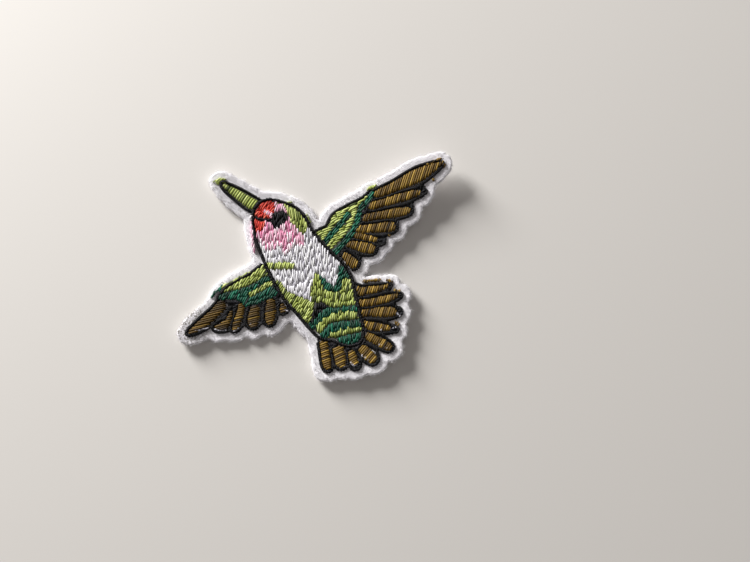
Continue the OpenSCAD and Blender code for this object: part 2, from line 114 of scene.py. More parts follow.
def stepped(loop, step):
    """Points at even steps along a closed loop, each with the direction to its left."""
    found, carried = [], 0.0
    for a, b in edges_of([loop]):
        length = (b - a).length
        if length < 1e-6:
            continue
        along = (b - a) / length
        left = Vector((-along.y, along.x))
        while carried < length:
            found.append((a + along * carried, left))
            carried += step
        carried -= length
    return found


def node_in(tree, kind, inputs=(), **settings):
    """A node with its settings and its inputs, each a value or a socket that it is linked to."""
    made = tree.nodes.new(kind)
    for name, value in settings.items():
        setattr(made, name, value)
    for key, value in dict(inputs).items():
        if isinstance(value, bpy.types.NodeSocket):
            tree.links.new(value, made.inputs[key])
        else:
            made.inputs[key].default_value = value
    return made


def maths(tree, operation, *values):
    return node_in(tree, "ShaderNodeMath", dict(enumerate(values)), operation=operation).outputs[0]


def grain(tree, place, scale, detail, distortion=0):
    settings = {"Vector": place, "Scale": scale, "Detail": detail, "Distortion": distortion}
    return node_in(tree, "ShaderNodeTexNoise", settings).outputs[0]


def ranged(tree, value, low, high, to_low=0, to_high=1):
    """A value carried over from one range to another and held inside it."""
    settings = {"Value": value, "From Min": low, "From Max": high, "To Min": to_low, "To Max": to_high}
    return node_in(tree, "ShaderNodeMapRange", settings).outputs[0]


def mixed(tree, share, first, second, blend="MIX"):
    settings = {"Factor": share, 6: first, 7: second}
    return node_in(tree, "ShaderNodeMix", settings, data_type="RGBA", blend_type=blend).outputs[2]


def joined_xyz(tree, x, y, z):
    return node_in(tree, "ShaderNodeCombineXYZ", {0: x, 1: y, 2: z}).outputs[0]


def new_tree(name, kind, inputs, outputs):
    tree = bpy.data.node_groups.new(name, kind)
    for way, sockets in (("INPUT", inputs), ("OUTPUT", outputs)):
        for label, socket, *value in sockets:
            made = tree.interface.new_socket(label, in_out=way, socket_type="NodeSocket" + socket)
            if value:
                made.default_value = value[0]
    return tree, tree.nodes.new("NodeGroupInput").outputs, tree.nodes.new("NodeGroupOutput").inputs


def grown(name, source, tree, values):
    """What a node tree makes of a source mesh, as a plain mesh object. The source is deleted."""
    modifier = source.modifiers.new(name, "NODES")
    modifier.node_group = tree
    for item in tree.interface.items_tree:
        if item.item_type == "SOCKET" and item.in_out == "INPUT" and item.name in values:
            modifier[item.identifier] = values[item.name]
    bpy.context.view_layer.update()
    made = bpy.data.meshes.new_from_object(source.evaluated_get(bpy.context.evaluated_depsgraph_get()))
    bpy.data.objects.remove(source)
    made.name = name
    piece = bpy.data.objects.new(name, made)
    bpy.context.scene.collection.objects.link(piece)
    return piece


def mesh_object(name, points, faces=(), edges=()):
    made = bpy.data.meshes.new(name)
    made.from_pydata(points, edges, faces)
    piece = bpy.data.objects.new(name, made)
    bpy.context.scene.collection.objects.link(piece)
    return piece


def plain_material(name):
    made = bpy.data.materials.new(name)
    made.use_nodes = True
    return made, made.node_tree, made.node_tree.nodes["Principled BSDF"]


def felt_material():
    """White felt of tangled fibres, uneven in tone, and a little dirty at the tip of the left wing."""
    dirty_tip, dirt_core, dirt_reach = (-0.0285, -0.0125, 0.002), 0.003, 0.0075
    made, tree, shader = plain_material("felt")
    place = node_in(tree, "ShaderNodeTexCoord").outputs["Object"]
    tangle = grain(tree, place, 2600, 3, 2.5)
    tufts = grain(tree, place, 700, 2, 0.6)
    patchy = grain(tree, place, 160, 3)
    to_tip = node_in(
        tree, "ShaderNodeVectorMath", {0: place, 1: dirty_tip}, operation="DISTANCE"
    ).outputs["Value"]
    near_tip = ranged(tree, to_tip, dirt_core, dirt_reach, 1, 0)
    speck = ranged(tree, grain(tree, place, 2400, 3), 0.48, 0.58)
    dirt = maths(tree, "MULTIPLY", near_tip, speck)
    white = mixed(tree, patchy, (0.90, 0.88, 0.94, 1), (0.98, 0.97, 0.99, 1))
    shade = ranged(tree, tangle, 0.38, 0.62, 0.87, 1)
    fibres = mixed(tree, 1.0, white, shade, "MULTIPLY")
    dirty = mixed(tree, maths(tree, "MULTIPLY", dirt, 0.85), fibres, (0.19, 0.17, 0.14, 1))
    height = maths(tree, "ADD", tangle, maths(tree, "MULTIPLY", tufts, 2.0))
    bump = node_in(tree, "ShaderNodeBump", {"Strength": 0.5, "Distance": 0.00014, "Height": height})
    tree.links.new(dirty, shader.inputs["Base Color"])
    tree.links.new(bump.outputs[0], shader.inputs["Normal"])
    shader.inputs["Roughness"].default_value = 0.95
    shader.inputs["Sheen Weight"].default_value = 0.4
    shader.inputs["Sheen Roughness"].default_value = 0.6
    return made


def felt_sheet(loop):
    """The felt as a closed mesh: its cut edge rounded, and its upper face slightly lumpy."""
    cut = []
    for point, left in stepped(loop, FELT_EDGE_STEP):
        snip = 0
        for layer, waves, depth in SNIPS:
            snip += noise.noise(Vector((point.x, point.y, layer)) * waves) * depth
        cut.append((point + left * snip, left))
    edges = edges_of([[point for point, _ in cut]])
    near_cut = kdtree.KDTree(len(cut))
    for i, (point, _) in enumerate(cut):
        near_cut.insert((point.x, point.y, 0), i)
    near_cut.balance()
    points = [point for point, _ in cut]
    for ring in FELT_EDGE_RINGS:
        for point, left in cut:
            inner = point + left * ring
            gap = near_cut.find((inner.x, inner.y, 0))[2]
            if gap > ring * 0.85 and is_inside(inner, edges):
                points.append(inner)
    low = Vector((min(p.x for p in points), min(p.y for p in points)))
    high = Vector((max(p.x for p in points), max(p.y for p in points)))
    for row in range(int((high.y - low.y) / FELT_SPACING)):
        for column in range(int((high.x - low.x) / FELT_SPACING)):
            wander = noise.cell_vector(Vector((row, column, 3))) * 0.15
            point = low + Vector((column + row % 2 / 2, row)) * FELT_SPACING + wander.to_2d()
            gap = near_cut.find((point.x, point.y, 0))[2]
            if gap > FELT_EDGE_RINGS[-1] + 0.2 and is_inside(point, edges):
                points.append(point)
    border = [(i, (i + 1) % len(cut)) for i in range(len(cut))]
    flat = delaunay_2d_cdt(points, border, [], 1, 1e-5)
    verts, tris = flat[0], flat[2]
    built = bmesh.new()
    top, bottom = [], []
    for point in verts:
        gap = near_cut.find((point.x, point.y, 0))[2]
        gap = 0 if gap < 0.01 else gap
        swell = FELT_THICKNESS / 2 * math.sqrt(1 - (1 - min(gap / FELT_EDGE_RADIUS, 1)) ** 2)
        middle = curl(point.x, point.y) + FELT_THICKNESS / 2
        bulge = noise.noise(Vector((point.x, point.y, 0)) * 1.3) * FELT_LUMP
        bulge *= min(1, gap / FELT_EDGE_RADIUS)
        top.append(built.verts.new((point.x * MM, point.y * MM, (middle + swell + bulge) * MM)))
        under = (point.x * MM, point.y * MM, max(0, middle - swell) * MM)
        bottom.append(top[-1] if gap == 0 else built.verts.new(under))
    for a, b, c in tris:
        built.faces.new((top[a], top[b], top[c]))
        built.faces.new((bottom[c], bottom[b], bottom[a]))
    bmesh.ops.recalc_face_normals(built, faces=built.faces)
    made = bpy.data.meshes.new("felt_base_cloth")
    built.to_mesh(made)
    bare = made.attributes.new("bare", "FLOAT", "POINT")
    for i, vert in enumerate(made.vertices):
        x, y, z = (value / MM for value in vert.co)
        is_bare = near_cut.find((x, y, 0))[2] < BARE_BAND and z > curl(x, y) + FELT_THICKNESS / 4
        bare.data[i].value = 1 if is_bare else 0
    built.free()
    made.shade_smooth()
    piece = bpy.data.objects.new("felt_base_cloth", made)
    bpy.context.scene.collection.objects.link(piece)
    return piece


def fuzz_tree():
    """Short bent fibres that stand out of the bare felt."""
    tree, given, made = new_tree(
        "felt fibres", "GeometryNodeTree",
        [("Geometry", "Geometry"), ("Fibres per m2", "Float", 1.7e7), ("Fibre length", "Float", 0.00055),
         ("Fibre radius", "Float", 0.000018), ("Seed", "Int", 3), ("Felt", "Material")],
        [("Geometry", "Geometry")],
    )
    bare = node_in(tree, "GeometryNodeInputNamedAttribute", {"Name": "bare"}, data_type="FLOAT").outputs[0]
    roots = node_in(tree, "GeometryNodeDistributePointsOnFaces", {
        "Mesh": given["Geometry"], "Density": maths(tree, "MULTIPLY", bare, given["Fibres per m2"]),
        "Seed": given["Seed"],
    })
    bend = node_in(tree, "GeometryNodeCurveQuadraticBezier", {
        "Resolution": 3, "Start": (0, 0, -0.15), "Middle": (0.05, 0, 0.65), "End": (0.75, 0.1, 0.75),
    })
    thin = maths(tree, "DIVIDE", given["Fibre radius"], given["Fibre length"])
    ring = node_in(tree, "GeometryNodeCurvePrimitiveCircle", {"Resolution": 3, "Radius": thin})
    strand = node_in(tree, "GeometryNodeCurveToMesh", {
        "Curve": bend.outputs[0], "Profile Curve": ring.outputs[0],
    })
    turn = node_in(tree, "FunctionNodeRandomValue", {
        0: (-0.9, -0.9, 0.0), 1: (0.9, 0.9, 6.283), "Seed": given["Seed"],
    }, data_type="FLOAT_VECTOR").outputs[0]
    leaning = node_in(tree, "FunctionNodeRotateRotation", {
        "Rotation": roots.outputs["Rotation"],
        "Rotate By": node_in(tree, "FunctionNodeEulerToRotation", {0: turn}).outputs[0],
    }, rotation_space="LOCAL")
    size = node_in(tree, "FunctionNodeRandomValue", {
        2: 0.4, 3: 1.2, "Seed": given["Seed"],
    }, data_type="FLOAT")
    grown_fibres = node_in(tree, "GeometryNodeInstanceOnPoints", {
        "Points": roots.outputs[0], "Instance": strand.outputs[0], "Rotation": leaning.outputs[0],
        "Scale": maths(tree, "MULTIPLY", size.outputs[1], given["Fibre length"]),
    })
    real = node_in(tree, "GeometryNodeRealizeInstances", {0: grown_fibres.outputs[0]})
    place = node_in(tree, "GeometryNodeInputPosition").outputs[0]
    x, y, z = node_in(tree, "ShaderNodeSeparateXYZ", {0: place}).outputs
    above_table = joined_xyz(tree, x, y, maths(tree, "MAXIMUM", z, 0.00002))
    resting = node_in(tree, "GeometryNodeSetPosition", {
        "Geometry": real.outputs[0], "Position": above_table,
    })
    finished = node_in(tree, "GeometryNodeSetMaterial", {0: resting.outputs[0], "Material": given["Felt"]})
    tree.links.new(finished.outputs[0], made[0])
    return tree


FELT = felt_material()
felt_loop = max(top_loops("felt_base"), key=len)
felt = felt_sheet(felt_loop)
felt.data.materials.append(FELT)
fuzz_source = felt.copy()
fuzz_source.data = felt.data.copy()
bpy.context.scene.collection.objects.link(fuzz_source)
fuzz = grown("felt_base_fibres", fuzz_source, fuzz_tree(), {"Felt": FELT})
for piece in (felt, fuzz):
    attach(piece, "root")
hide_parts("felt_base")


# The beak: pale green thread laid across it at a slant, with a blob of loose green at the tip. As all over
# the bird, it is glossy two-ply embroidery thread, pulled tight over a lower layer of the same thread, so
# that each stitch stands up as a small arch and its two ends go down into the felt. The lower layer is in
# the thread's shade colour: painted shade where it shows between the rows.
THREAD_WIDTH = 0.41
FILL_HEIGHT = 0.75
PAD_INSET = 0.28
PAD_FOOT_INSET = 0.12
PAD_FOOT_DEPTH = 0.1
# The pad's tone, close to the thread's shade colour, so that the pad is painted shade between the rows
PAD_SHADE_TONE = 0.06
TOP_FACE_FROM = 0.4
STITCH_END_DEPTH = 0.12
SHORTEST_ROW = 0.25
dice = random.Random(41)


def thread_look():
    """The look of a thread from its tone and its place round and along: twisted plies of fine filaments."""
    tree, given, made = new_tree(
        "thread look", "ShaderNodeTree",
        [("Deep", "Color"), ("Middle", "Color"), ("Bright", "Color"), ("Twists per mm", "Float", 0.9),
         ("Ply depth", "Float", 0.55)],
        [("Color", "Color"), ("Height", "Float"), ("Roughness", "Float")],
    )

    def product(first, second):
        return maths(tree, "MULTIPLY", first, second)

    tone = node_in(tree, "ShaderNodeAttribute", attribute_name="tone").outputs["Fac"]
    wrap = node_in(tree, "ShaderNodeAttribute", attribute_name="wrap").outputs["Vector"]
    cosine, sine, along = node_in(tree, "ShaderNodeSeparateXYZ", {0: wrap}).outputs
    angle = product(along, product(given["Twists per mm"], 6.283))
    turned_cos = maths(tree, "COSINE", angle)
    turned_sin = maths(tree, "SINE", angle)
    across = maths(tree, "SUBTRACT", product(cosine, turned_cos), product(sine, turned_sin))
    up = maths(tree, "ADD", product(sine, turned_cos), product(cosine, turned_sin))
    ply = maths(tree, "ABSOLUTE", product(product(across, up), 2.0))
    filaments = grain(tree, joined_xyz(tree, across, up, product(along, 0.12)), 7.0, 1.5)
    height = maths(tree, "ADD", product(ply, given["Ply depth"]), product(filaments, 0.5))
    # From the deep colour, painted shade, through the middle one to the bright one, painted highlight, by
    # tone
    lower = mixed(tree, ranged(tree, tone, 0.0, 0.5), given["Deep"], given["Middle"])
    whole = mixed(tree, ranged(tree, tone, 0.5, 1.0), lower, given["Bright"])
    streaked = mixed(tree, 1.0, whole, ranged(tree, filaments, 0.3, 0.7, 0.82, 1.1), "MULTIPLY")
    tree.links.new(streaked, made["Color"])
    tree.links.new(height, made["Height"])
    tree.links.new(ranged(tree, filaments, 0.3, 0.7, 0.6, 0.4), made["Roughness"])
    return tree


def srgb(red, green, blue):
    """A colour as a painter names it, 0 to 255, as the light that it sends back."""
    shares = [c / 255 for c in (red, green, blue)]
    return tuple(((s + 0.055) / 1.055) ** 2.4 if s > 0.04 else s / 12.92 for s in shares) + (1,)


def thread(name, deep, middle, bright, sheen=0.12, gloss=0.35):
    """A thread's material, from its colour in the shade, in plain light and where it shines."""
    made, tree, shader = plain_material(name)
    look = node_in(tree, "ShaderNodeGroup", node_tree=THREAD_LOOK)
    for label, colour in (("Deep", deep), ("Middle", middle), ("Bright", bright)):
        look.inputs[label].default_value = srgb(*colour)
    relief = {"Strength": 0.7, "Distance": 0.00008, "Height": look.outputs["Height"]}
    bump = node_in(tree, "ShaderNodeBump", relief)
    tree.links.new(look.outputs["Color"], shader.inputs["Base Color"])
    tree.links.new(look.outputs["Roughness"], shader.inputs["Roughness"])
    tree.links.new(bump.outputs[0], shader.inputs["Normal"])
    shader.inputs["Specular IOR Level"].default_value = gloss
    shader.inputs["Sheen Weight"].default_value = sheen
    shader.inputs["Sheen Roughness"].default_value = 0.35
    return made


def stitch_tree():
    """Each loose edge of the source becomes one stitch: an arch of thread with both ends pulled down."""
    tree, given, made = new_tree(
        "stitches", "GeometryNodeTree",
        [("Geometry", "Geometry"), ("Ground", "Object"), ("Points a stitch", "Int", 8), ("Sides", "Int", 7),
         ("Flatness", "Float", 0.92), ("Sway", "Float", 0.00005), ("Thread", "Material")],
        [("Geometry", "Geometry")],
    )

    def named(name):
        return node_in(tree, "GeometryNodeInputNamedAttribute", {"Name": name}, data_type="FLOAT").outputs[0]

    def stored(geometry, name, value, kind="FLOAT"):
        return node_in(
            tree, "GeometryNodeStoreNamedAttribute", {"Geometry": geometry, "Name": name, "Value": value},
            data_type=kind, domain="POINT",
        ).outputs[0]

    def of_vectors(operation, first, second):
        return node_in(tree, "ShaderNodeVectorMath", {0: first, 1: second}, operation=operation).outputs[0]

    runs = node_in(tree, "GeometryNodeMeshToCurve", {"Mesh": given["Geometry"]}).outputs[0]
    points = node_in(tree, "GeometryNodeResampleCurve", {"Curve": runs, "Count": given["Points a stitch"]})
    along = node_in(tree, "GeometryNodeSplineParameter")
    doubled = maths(tree, "MULTIPLY", along.outputs["Factor"], 2.0)
    off_middle = maths(tree, "ABSOLUTE", maths(tree, "SUBTRACT", doubled, 1.0))
    fall = maths(tree, "POWER", off_middle, named("spring"))
    rise = maths(tree, "MULTIPLY", named("rise"), maths(tree, "SUBTRACT", 1.0, fall))
    place = node_in(tree, "GeometryNodeInputPosition").outputs[0]
    wander = node_in(tree, "ShaderNodeTexNoise", {"Vector": place, "Scale": 900.0}).outputs["Color"]
    sway = joined_xyz(tree, given["Sway"], given["Sway"], 0.0)
    swing = of_vectors("MULTIPLY", of_vectors("SUBTRACT", wander, (0.5, 0.5, 0.5)), sway)
    arched = node_in(tree, "GeometryNodeSetPosition", {
        "Geometry": points.outputs[0], "Offset": of_vectors("ADD", joined_xyz(tree, 0.0, 0.0, rise), swing),
    })
    pinch = maths(tree, "MULTIPLY", maths(tree, "POWER", off_middle, 5.0), 0.55)
    sized = node_in(tree, "GeometryNodeSetCurveRadius", {
        "Curve": arched.outputs[0],
        "Radius": maths(tree, "MULTIPLY", named("girth"), maths(tree, "SUBTRACT", 1.0, pinch)),
    })
    measured = stored(sized.outputs[0], "run", maths(tree, "MULTIPLY", along.outputs["Length"], 1000.0))
    upright = node_in(tree, "GeometryNodeSetCurveNormal", {"Curve": measured}, mode="Z_UP")
    ring = node_in(tree, "GeometryNodeCurvePrimitiveCircle", {
        "Resolution": given["Sides"], "Radius": 1.0,
    }).outputs[0]
    round_ring = node_in(tree, "GeometryNodeSplineParameter").outputs["Factor"]
    around = maths(tree, "MULTIPLY", round_ring, 6.2832)
    for name, wave in (("cosine", "COSINE"), ("sine", "SINE")):
        ring = stored(ring, name, maths(tree, wave, around))
    flattened = node_in(tree, "GeometryNodeTransform", {
        "Geometry": ring, "Scale": joined_xyz(tree, 1.0, given["Flatness"], 1.0),
    })
    swept = node_in(tree, "GeometryNodeCurveToMesh", {
        "Curve": upright.outputs[0], "Profile Curve": flattened.outputs[0], "Fill Caps": True,
        "Scale": node_in(tree, "GeometryNodeInputRadius").outputs[0],
    })
    wrap = joined_xyz(tree, named("cosine"), named("sine"), named("run"))
    wrapped = stored(swept.outputs[0], "wrap", wrap, "FLOAT_VECTOR")
    smooth = node_in(tree, "GeometryNodeSetShadeSmooth", {"Geometry": wrapped, "Shade Smooth": True})
    ground = node_in(tree, "GeometryNodeObjectInfo", {"Object": given["Ground"]}, transform_space="ORIGINAL")
    both = node_in(tree, "GeometryNodeJoinGeometry")
    tree.links.new(ground.outputs["Geometry"], both.inputs[0])
    tree.links.new(smooth.outputs[0], both.inputs[0])
    real = node_in(tree, "GeometryNodeRealizeInstances", {0: both.outputs[0]})
    finished = node_in(tree, "GeometryNodeSetMaterial", {0: real.outputs[0], "Material": given["Thread"]})
    tree.links.new(finished.outputs[0], made[0])
    return tree


def chords(loops, slope, row):
    """The straight runs of thread across an area, one or more for each row, as pairs of points in mm.

    The slope is in degrees, and a row may stray a little from its level.
    """
    turn, back = (Matrix.Rotation(math.radians(degrees), 2) for degrees in (-slope, slope))
    edges = [(turn @ a, turn @ b) for a, b in edges_of(loops)]
    low, high = min(a.y for a, _ in edges), max(a.y for a, _ in edges)
    found = []
    level = low + row / 2
    while level < high:
        y = level + dice.uniform(-0.12, 0.12) * row
        crossed = [(a, b) for a, b in edges if (a.y > y) != (b.y > y)]
        crossings = sorted(a.x + (y - a.y) / (b.y - a.y) * (b.x - a.x) for a, b in crossed)
        for x0, x1 in zip(crossings[::2], crossings[1::2]):
            found.append((back @ Vector((x0, y)), back @ Vector((x1, y))))
        level += row
    return found


def satin(loops, slope, row=0.46, over=0.1, longest=6.5):
    """Rows that run right across an area. A run that is too long for one stitch is split."""
    for a, b in chords(loops, slope, row):
        length = (b - a).length
        if length < SHORTEST_ROW:
            continue
        along = (b - a) / length
        a -= along * dice.uniform(0.3, 1) * over
        b += along * dice.uniform(0.3, 1) * over
        parts = math.ceil(length / longest)
        for k in range(parts):
            yield a.lerp(b, k / parts), a.lerp(b, (k + 1) / parts)


def ground_of(node, height):
    """The lower layer of stitches, as a low pad under the rows that shows only between them, as painted
    shade.
    """
    shifts = {}
    for loop in top_loops(node):
        count = len(loop)
        for i in range(count):
            before = (loop[i] - loop[i - 1]).normalized()
            after = (loop[(i + 1) % count] - loop[i]).normalized()
            left = Vector((-before.y - after.y, before.x + after.x))
            shifts[(round(loop[i].x, 2), round(loop[i].y, 2))] = left.normalized()
    pad = bmesh.new()
    pad.from_mesh(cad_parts[node].data)
    bmesh.ops.remove_doubles(pad, verts=pad.verts, dist=0.002 * MM)
    for vert in pad.verts:
        x, y = vert.co.x / MM, vert.co.y / MM
        base = curl(x, y) + FELT_THICKNESS
        is_top = vert.co.z / MM > base + TOP_FACE_FROM
        left = shifts.get((round(x, 2), round(y, 2)), Vector((0, 0)))
        moved = Vector((x, y)) + left * (PAD_INSET if is_top else PAD_FOOT_INSET)
        vert.co = Vector((moved.x, moved.y, base + (height if is_top else -PAD_FOOT_DEPTH))) * MM
    made = bpy.data.meshes.new(node + "_ground")
    pad.to_mesh(made)
    pad.free()
    # The whole pad takes the shade colour's tone, as painted shade
    tone = made.attributes.new("tone", "FLOAT", "POINT")
    for spot in tone.data:
        spot.value = PAD_SHADE_TONE
    return bpy.data.objects.new(node + "_ground", made)


def stitched(name, colour, slot, runs, height, girth, tone, tone_at=None, ground=None):
    """A piece made of the runs: each one an arch of thread between two points in mm.

    The tone is a middle value and its spread, from 0 in the deep colour, which is painted shade, to 1 in the
    bright one, which is painted highlight. Each stitch draws its own tone at random, so the tones differ at
    random between stitches and carry painted light and shade as well.
    """
    points, edges, sizes = [], [], {"rise": [], "girth": [], "spring": [], "tone": []}
    for a, b in runs:
        length = (b - a).length
        width = girth * dice.uniform(0.9, 1.08)
        # A longer stitch stands higher, up to the full height, and lies level for more of its length.
        rise = min(height - width * 0.8, 0.12 + 0.7 * length) * dice.uniform(0.86, 1.05) + STITCH_END_DEPTH
        shade = min(1, max(0, dice.gauss(*tone) + (tone_at((a + b) / 2) if tone_at else 0)))
        shape = {"rise": rise * MM, "girth": width * MM, "spring": 2.0 + 0.9 * length, "tone": shade}
        for x, y in (a, b):
            points.append(Vector((x, y, curl(x, y) + FELT_THICKNESS - STITCH_END_DEPTH)) * MM)
            for key, value in shape.items():
                sizes[key].append(value)
        edges.append((len(points) - 2, len(points) - 1))
    source = mesh_object(name + "_runs", points, edges=edges)
    for key, values in sizes.items():
        source.data.attributes.new(key, "FLOAT", "POINT").data.foreach_set("value", values)
    given = {"Thread": colour, "Ground": ground} if ground else {"Thread": colour}
    piece = grown(name, source, STITCH_TREE, given)
    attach(piece, "root")
    return piece


def sew(
    node, colour, slot, runs, height=FILL_HEIGHT, girth=THREAD_WIDTH / 2, tone=(0.55, 0.25), tone_at=None,
    pad=0.5,
):
    """Sews the runs in place of a node, over a pad of the same thread in its shade colour, as painted shade.
    """
    ground = ground_of(node, height * pad)
    bpy.context.scene.collection.objects.link(ground)
    piece = stitched(node + "_stitches", colour, slot, runs, height, girth, tone, tone_at, ground)
    bpy.data.objects.remove(ground)
    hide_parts(node)
    return piece


THREAD_LOOK = thread_look()
STITCH_TREE = stitch_tree()
GREEN = thread("green thread", deep=(62, 76, 24), middle=(168, 182, 86), bright=(214, 226, 138))
sew("beak", GREEN, "thread_green", satin(top_loops("beak"), 57, row=0.58), girth=0.28)
sew("beak_tip", GREEN, "thread_green", satin(top_loops("beak_tip"), 40, row=0.45))


# The head: a red face, a pink crown, a green nape and a black patch round the eye, each of one thread in
# upright long and short stitches whose ends mingle. The mouth is a single black line, sewn last.
RED = thread("red thread", deep=(150, 24, 16), middle=(230, 62, 46), bright=(248, 118, 90))
PINK = thread("pink thread", deep=(230, 136, 178), middle=(244, 186, 210), bright=(252, 246, 250))
BLACK = thread(
    "black thread", deep=(5, 5, 7), middle=(13, 13, 16), bright=(34, 34, 42), sheen=0.0, gloss=0.2
)
FINE_GIRTH = 0.185
STITCH_OVERLAP = 0.25
SHORTEST_REMAINDER = 0.3
NEAREST_SHARE = 0.72


def long_and_short(loops, slope, row=0.44, stitch=2.3, teeth=0.3, sway=6, low_teeth=None):
    """Rows of stitches that start and end at uneven places, and reach a little past the area's edge."""
    low_teeth = teeth if low_teeth is None else low_teeth
    for a, b in chords(loops, slope, row):
        length = (b - a).length
        if length < SHORTEST_ROW:
            continue
        along = (b - a) / length
        at = -dice.uniform(0, 1) * low_teeth
        reach = length + dice.uniform(0, 1) * teeth
        first = True
        while at < reach - SHORTEST_REMAINDER:
            size = stitch * dice.uniform(0.7, 1.25) * (dice.uniform(0.45, 1) if first else 1)
            end = min(at + size, reach)
            if reach - end < 0.5 * stitch:
                end = min(reach, end + 0.5 * stitch)
            middle = a + along * (at + end) / 2
            half = Matrix.Rotation(math.radians(dice.gauss(0, sway)), 2) @ along * (end - at) / 2
            yield middle - half, middle + half
            at = end - STITCH_OVERLAP
            first = False


def across_line(loops, row=0.36, slant=45, over=-0.03, widest=1.7):
    """Short stitches across a narrow line, all along it. A place that has one is passed over."""
    edges = edges_of(loops)
    middles = []
    for loop in sorted(loops, key=len, reverse=True):
        for point, left in stepped(loop, row):
            way = Matrix.Rotation(math.radians(slant), 2) @ left
            start = point + way * 0.01
            width = widest
            for a, b in edges:
                side = b - a
                cross = way.x * side.y - way.y * side.x
                if abs(cross) > 1e-9:
                    gap = a - start
                    far = (gap.x * side.y - gap.y * side.x) / cross
                    share = (gap.x * way.y - gap.y * way.x) / cross
                    if 0.02 < far < width and 0 <= share <= 1:
                        width = far
            middle = point + way * width / 2
            if all((middle - other).length_squared > (NEAREST_SHARE * row) ** 2 for other in middles):
                middles.append(middle)
                yield point - way * over, point + way * (width + over)


for node, colour, slot, slope in (
    ("brow_red", RED, "thread_red", 55),
    ("chin_red", RED, "thread_red", 76),
    ("crown_pink", PINK, "thread_pink", 75),
    ("eye_patch", BLACK, "thread_black", 84),
    ("nape_green", GREEN, "thread_green", 100),
):
    runs = long_and_short(top_loops(node), slope, row=0.4, stitch=2.6, teeth=0.5, sway=4)
    sew(node, colour, slot, runs, girth=FINE_GIRTH)
sew("mouth_line", BLACK, "thread_black", across_line(top_loops("mouth_line")))


# The throat and breast: pink thread that pales downwards and runs out into white, in upright rows of long
# and short stitches with ragged ends, and one short green bar in satin stitch that stands a little higher.
WHITE = thread("white thread", deep=(176, 174, 184), middle=(244, 243, 248), bright=(254, 254, 255))
BREAST_GIRTH = 0.18
THROAT_MIDDLE = 7
PALER_PER_MM = 0.05


def throat_tone(place):
    return (THROAT_MIDDLE - place.y) * PALER_PER_MM


sew(
    "throat_pink", PINK, "thread_pink",
    long_and_short(top_loops("throat_pink"), 92, row=0.38, stitch=2.6, teeth=0.9),
    girth=BREAST_GIRTH, tone=(0.6, 0.36), tone_at=throat_tone, pad=0.6,
)
sew(
    "breast_white", WHITE, "thread_white",
    long_and_short(top_loops("breast_white"), 96, row=0.37, stitch=2.8, teeth=0.9, sway=7),
    girth=BREAST_GIRTH, pad=0.6,
)
sew(
    "breast_bar", GREEN, "thread_green", satin(top_loops("breast_bar"), 74, over=0.35),
    height=0.98, tone=(0.7, 0.18),
)


# The thighs, vent, flank and leg: patches of green and teal thread round a short black leg, each in long and
# short stitches at a slant of its own, so that each catches the light in its own way.
TEAL = thread("teal thread", deep=(0, 28, 22), middle=(4, 80, 60), bright=(20, 120, 92))
for node, colour, slot, slope in (
    ("thigh_front", GREEN, "thread_green", 88),
    ("thigh_back", GREEN, "thread_green", 77),
    ("vent_teal", TEAL, "thread_teal", 70),
    ("vent_green", GREEN, "thread_green", 80),
    ("flank_green", GREEN, "thread_green", 60),
    ("flank_teal", TEAL, "thread_teal", 60),
    ("leg_black", BLACK, "thread_black", 82),
):
    sew(node, colour, slot, long_and_short(top_loops(node), slope, teeth=0.35))


# The rump: five bands of the same two threads in turn, sewn one after the other. The green stitches reach
# far into the teal band above them and stop short of the one below, so the bands bite together like teeth.
for band in range(1, 6):
    colour, slot = (TEAL, "thread_teal") if band % 2 else (GREEN, "thread_green")
    node = f"rump_band_{band}"
    teeth, low_teeth, height = (0.5, 0.5, 0.78) if colour is TEAL else (1.0, -0.35, 0.82)
    runs = long_and_short(top_loops(node), 84, row=0.4, teeth=teeth, low_teeth=low_teeth)
    sew(node, colour, slot, runs, height, girth=FINE_GIRTH)


# The wings: four stripes of small coverts in teal and green long and short stitch, then a row of flight
# feathers in brown thread, each one a column of close satin stitch.
BROWN = thread(
    "brown thread", deep=(46, 32, 8), middle=(116, 88, 24), bright=(196, 160, 68), sheen=0.02, gloss=0.28
)
COVERT_COLOURS = {"right": (TEAL, TEAL, GREEN, GREEN), "left": (TEAL, GREEN, TEAL, GREEN)}
COVERT_SLOPES = {"right": (50, 50, 24, 22), "left": (60, 60, 62, 58)}
# A wing, how many flight feathers it has, the slope of their rows in degrees and how bright they are
for wing, feathers, slope, shade in (("right", 7, 72, 0.48), ("left", 6, 15, 0.3)):
    coverts = zip(COVERT_COLOURS[wing], COVERT_SLOPES[wing])
    for i, (colour, covert_slope) in enumerate(coverts, 1):
        node = f"{wing}_covert_{i}"
        slot = "thread_teal" if colour is TEAL else "thread_green"
        sew(node, colour, slot, long_and_short(top_loops(node), covert_slope, teeth=0.3, sway=4))
    for i in range(1, feathers + 1):
        node = f"{wing}_feather_{i}"
        sew(node, BROWN, "thread_brown", satin(top_loops(node), slope, over=0.4), tone=(shade, 0.2))


# The tail: nine short feathers fanned out round the rump, in the same brown thread and satin stitch. The
# slope of the rows turns with the fan.
TAIL_SLOPES = (72, 72, 72, 70, 60, 50, 30, 25, 20)
for i, slope in enumerate(TAIL_SLOPES, 1):
    node = f"tail_feather_{i}"
    sew(node, BROWN, "thread_brown", satin(top_loops(node), slope, over=0.36), tone=(0.48, 0.21))


# The black lines: narrow columns of black satin stitch, sewn over the seams when every area is filled. Those
# of the beak and body stand a little above it, and those of the feathers lie lower.
LINE_HEIGHT = 0.9
FEATHER_LINE_HEIGHT = 0.6
